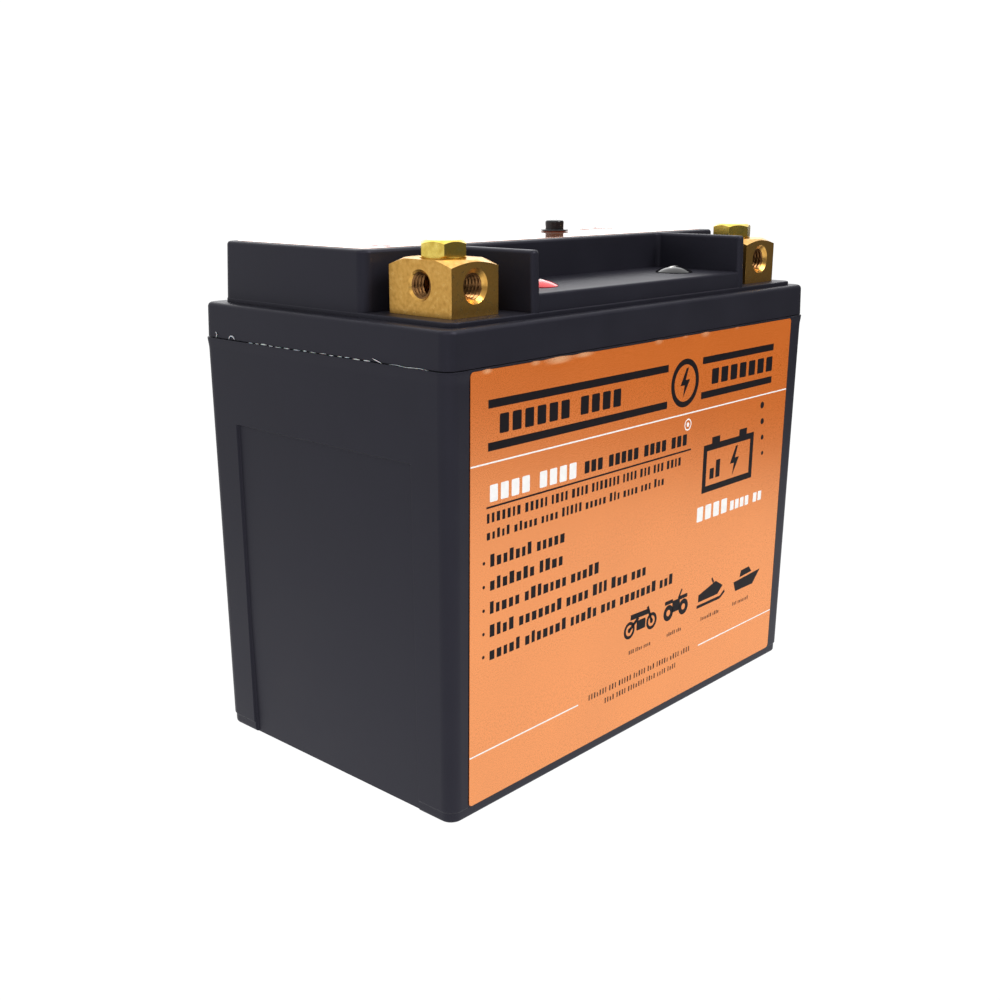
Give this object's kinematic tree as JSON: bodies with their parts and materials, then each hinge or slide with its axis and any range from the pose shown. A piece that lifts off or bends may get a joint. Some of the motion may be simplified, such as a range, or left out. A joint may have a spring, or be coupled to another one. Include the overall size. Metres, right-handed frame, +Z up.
{
  "type": "motorcycle battery",
  "caption": "Sealed box motorcycle starter battery with an orange label, square brass terminals with hex bolts, polarity markers and a test button.",
  "frame": {"origin": "centre of the base, on the surface the battery stands on", "axes": "+X along the label face towards the negative terminal, +Z up, -Y is the label face"},
  "size_m": [0.15, 0.087, 0.1322],
  "materials": {
    "case_plastic": "fine satin moulded texture",
    "sealant": "dull, slightly milky",
    "front_foil": "orange coppery foil, satin",
    "top_foil": "orange foil, glossy",
    "red_marker": "glossy domed",
    "black_marker": "glossy domed",
    "terminal_brass": "machined, light brushing",
    "bolt_plating": "yellow plated steel",
    "seal_rubber": "matte",
    "nut_steel": "zinc plated",
    "lug_copper": "tinned copper",
    "red_insulation": "satin",
    "black_insulation": "satin",
    "cell_sleeve": "satin blue sleeve over a metal can",
    "holder_plastic": "moulded",
    "nickel": "bright nickel strip",
    "foam": "fine closed-cell foam",
    "insulating_board": "pressed fibre sheet",
    "board_green": "solder mask",
    "chip_black": "moulded epoxy",
    "copper": "bare copper",
    "yellow_insulation": "satin",
    "button_plastic": "satin black",
    "spring_steel": "bright wire",
    "light_epoxy": "clear diffused",
    "grey_insulation": "satin"
  },
  "bodies": {
    "battery": {"case": "case_plastic", "lid": "case_plastic", "seam_sealant": "sealant", "front_label": "front_foil", "top_label": "top_foil", "positive_marker": "red_marker", "negative_marker": "black_marker", "positive_terminal": "terminal_brass", "negative_terminal": "terminal_brass", "positive_terminal_seal": "seal_rubber", "negative_terminal_seal": "seal_rubber", "positive_terminal_nut": "nut_steel", "negative_terminal_nut": "nut_steel", "positive_lug": "lug_copper", "negative_lug": "lug_copper", "positive_lead": "red_insulation", "negative_lead": "black_insulation", "cell_string_1": "cell_sleeve", "cell_string_2": "cell_sleeve", "cell_string_3": "cell_sleeve", "cell_string_4": "cell_sleeve", "top_cell_holder": "holder_plastic", "bottom_cell_holder": "holder_plastic", "top_bus_plates": "nickel", "bottom_bus_plates": "nickel", "base_foam": "foam", "end_foam": "foam", "insulating_sheet": "insulating_board", "management_board": "board_green", "management_parts": "chip_black", "management_link": "copper", "balance_leads": "yellow_insulation", "button_bush": "button_plastic", "button_nut": "nut_steel", "button_spring": "spring_steel", "button_switch": "chip_black", "switch_tags": "nickel", "switch_leads": "red_insulation", "indicator_board": "board_green", "indicator_lights": "light_epoxy", "indicator_screws": "nut_steel", "indicator_cable": "grey_insulation"},
    "push_button": {"test_button": "button_plastic"},
    "positive_bolt_lift": {"positive_bolt_washer": "bolt_plating"},
    "positive_bolt_turn": {"positive_bolt": "bolt_plating"},
    "negative_bolt_lift": {"negative_bolt_washer": "bolt_plating"},
    "negative_bolt_turn": {"negative_bolt": "bolt_plating"}
  },
  "joints": [
    {"name": "test_button_press", "type": "slide", "parent": "battery", "child": "push_button", "axis": [0, 0, -1], "range_m": [0, 0.001], "stiffness_N_per_m": 1200, "springref_m": -0.0004, "deforming": ["button_spring"]},
    {"name": "positive_bolt_lift", "type": "slide", "parent": "battery", "child": "positive_bolt_lift", "axis": [0, 0, 1], "range_m": [0, 0.01]},
    {"name": "positive_bolt_turn", "type": "hinge", "parent": "positive_bolt_lift", "child": "positive_bolt_turn", "pos_m": [-0.0586, -0.0262, 0.1278], "axis": [0, 0, 1], "range_deg": [0, 3600]},
    {"name": "negative_bolt_lift", "type": "slide", "parent": "battery", "child": "negative_bolt_lift", "axis": [0, 0, 1], "range_m": [0, 0.01]},
    {"name": "negative_bolt_turn", "type": "hinge", "parent": "negative_bolt_lift", "child": "negative_bolt_turn", "pos_m": [0.0592, -0.0267, 0.1278], "axis": [0, 0, 1], "range_deg": [0, 3600]}
  ],
  "couplings": [
    {"joint": "positive_bolt_turn", "follows": "positive_bolt_lift", "rad_per_m": 6283.2},
    {"joint": "negative_bolt_turn", "follows": "negative_bolt_lift", "rad_per_m": 6283.2}
  ]
}
